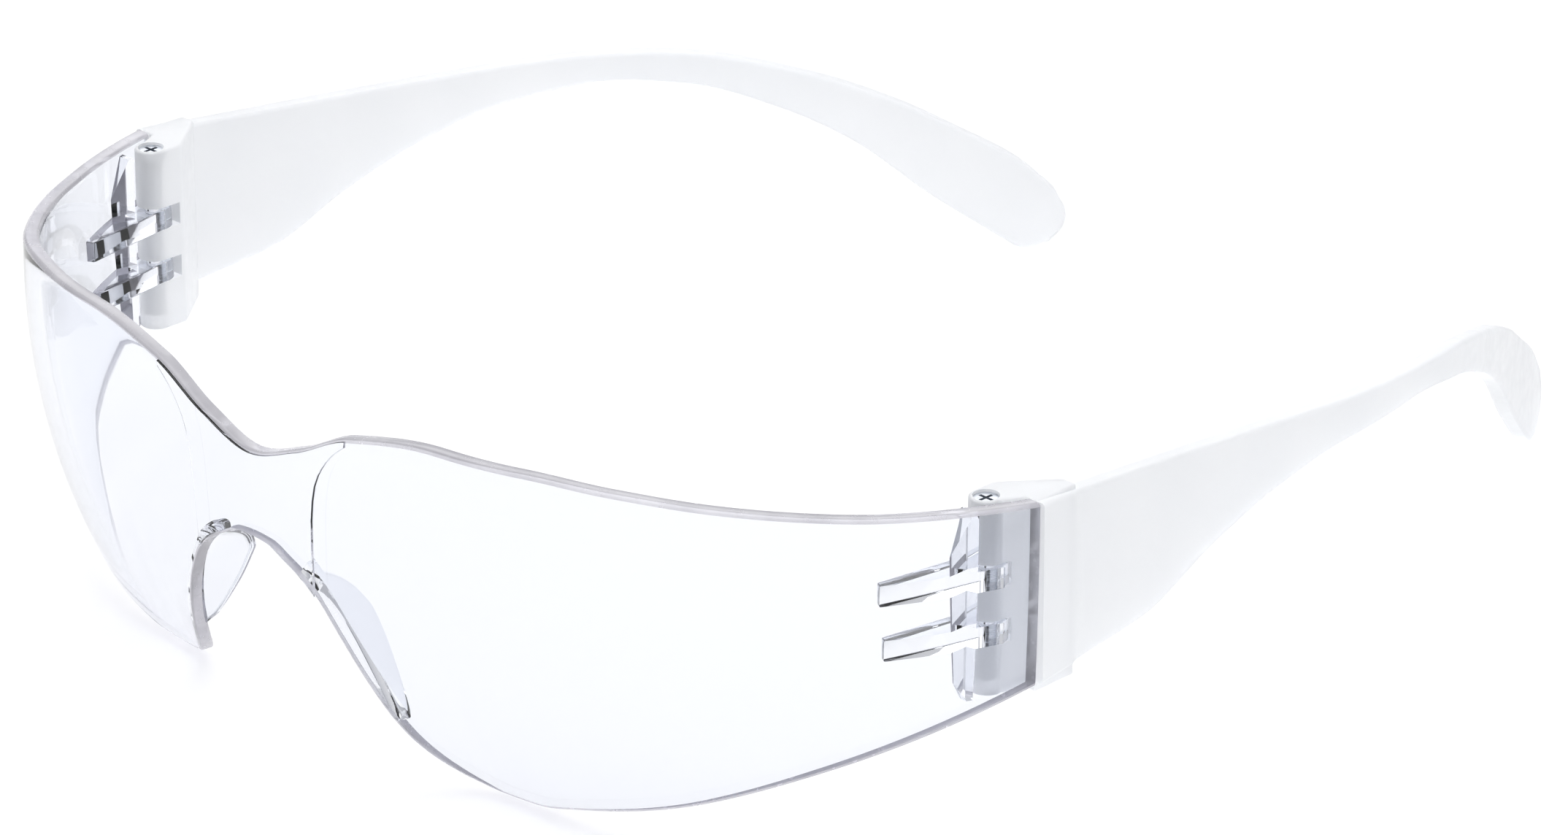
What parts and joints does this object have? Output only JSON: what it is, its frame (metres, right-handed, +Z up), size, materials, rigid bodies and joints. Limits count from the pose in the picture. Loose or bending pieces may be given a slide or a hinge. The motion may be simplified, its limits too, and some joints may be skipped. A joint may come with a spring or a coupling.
{
  "type": "safety glasses",
  "caption": "Wrap-around safety glasses with a one-piece clear shield lens, moulded nose pads and frosted temples that fold on hinge screws.",
  "frame": {"origin": "centre of the bounding box in plan, at the level of the table that the lens and the temple tips rest on", "axes": "+X to the wearer's left, -Y the way the wearer looks, +Z up; the hinge axes are parallel to Z"},
  "size_m": [0.1426, 0.1635, 0.0444],
  "materials": {
    "clear_polycarbonate": "polished, clear",
    "frosted_plastic": "satin, milky translucent",
    "screw_steel": "zinc plated"
  },
  "bodies": {
    "front": {"lens_shield": "clear_polycarbonate"},
    "left_arm": {"left_temple": "frosted_plastic", "left_hinge_screw": "screw_steel"},
    "right_arm": {"right_temple": "frosted_plastic", "right_hinge_screw": "screw_steel"}
  },
  "joints": [
    {"name": "left_hinge", "type": "hinge", "parent": "front", "child": "left_arm", "pos_m": [0.0658, -0.03877, 0.0273], "axis": [0, 0, 1], "range_deg": [0, 80]},
    {"name": "right_hinge", "type": "hinge", "parent": "front", "child": "right_arm", "pos_m": [-0.0658, -0.03877, 0.0273], "axis": [0, 0, -1], "range_deg": [0, 70]}
  ]
}
